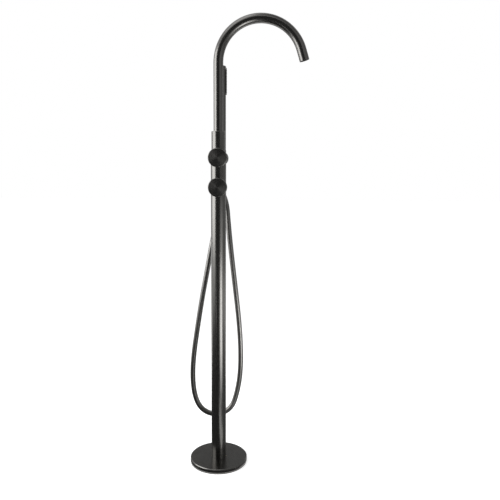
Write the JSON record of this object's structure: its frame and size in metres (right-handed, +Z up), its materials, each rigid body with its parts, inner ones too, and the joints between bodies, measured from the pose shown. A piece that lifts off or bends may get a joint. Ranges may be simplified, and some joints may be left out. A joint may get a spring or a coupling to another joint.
{
  "type": "floor standing bath filler",
  "caption": "Floor standing bath filler: round column on a floor plate, gooseneck spout, round knobs on the front, slim handset on a rear holder with its hose hanging in a loop.",
  "frame": {"origin": "on the floor, on the column's axis", "axes": "+Z up the column; the spout points along +X; the knobs face -Y; the handset is towards +Y"},
  "size_m": [0.3157, 0.187, 1.1956],
  "materials": {
    "gunmetal": "satin dark grey plating",
    "brass": "machined",
    "copper": "drawn tube",
    "steel": "plain",
    "plastic": "moulded",
    "rubber": "matte",
    "hose": "smooth, metal look"
  },
  "bodies": {
    "stand": {"mounting_foot": "brass", "foot_spigot": "brass", "floor_cover_plate": "gunmetal", "column_grub_screws": "steel", "column_tube": "gunmetal", "spout_base_sleeve": "gunmetal", "hot_supply_pipe": "copper", "cold_supply_pipe": "copper", "valve_body": "brass", "mixer_neck_sleeve": "gunmetal", "mixer_cartridge": "plastic", "mixer_bonnet_nut": "brass", "diverter_neck_sleeve": "gunmetal", "diverter_cartridge": "plastic", "diverter_bonnet_nut": "brass", "spout_slide_washer": "plastic", "holder_stud": "steel", "holder_arm": "gunmetal", "holder_barrel": "gunmetal", "holder_liner": "plastic", "hose_outlet_elbow": "gunmetal", "hose_outlet_nut": "gunmetal", "outlet_washer": "rubber", "shower_hose": "hose"},
    "spout": {"spout_tube": "gunmetal", "spout_tail_fitting": "brass", "spout_o_rings": "rubber", "aerator_housing": "gunmetal", "flow_straightener": "plastic"},
    "mixer_control": {"mixer_spindle": "brass", "mixer_knob": "gunmetal", "mixer_knob_insert": "plastic", "mixer_knob_grub_screw": "steel"},
    "diverter_control": {"diverter_spindle": "brass", "diverter_knob": "gunmetal", "diverter_knob_insert": "plastic", "diverter_knob_grub_screw": "steel"},
    "handset": {"hose_cone_nut": "gunmetal", "handset_washer": "rubber", "handset_end_fitting": "gunmetal", "handset_tube": "gunmetal", "handset_top_cap": "gunmetal", "handset_core": "plastic", "nozzle_mat": "rubber", "spray_face_plate": "gunmetal"}
  },
  "joints": [
    {"name": "spout_swivel", "type": "hinge", "parent": "stand", "child": "spout", "pos_m": [0, 0, 0.876], "axis": [0, 0, 1], "range_deg": [-60, 60]},
    {"name": "mixer_turn", "type": "hinge", "parent": "stand", "child": "mixer_control", "pos_m": [0, -0.03, 0.837], "axis": [0, -1, 0], "range_deg": [0, 100]},
    {"name": "diverter_turn", "type": "hinge", "parent": "stand", "child": "diverter_control", "pos_m": [0, -0.03, 0.762], "axis": [0, -1, 0], "range_deg": [0, 90]},
    {"name": "handset_lift", "type": "slide", "parent": "stand", "child": "handset", "axis": [0, 0, 1], "range_m": [0, 0.1]}
  ]
}
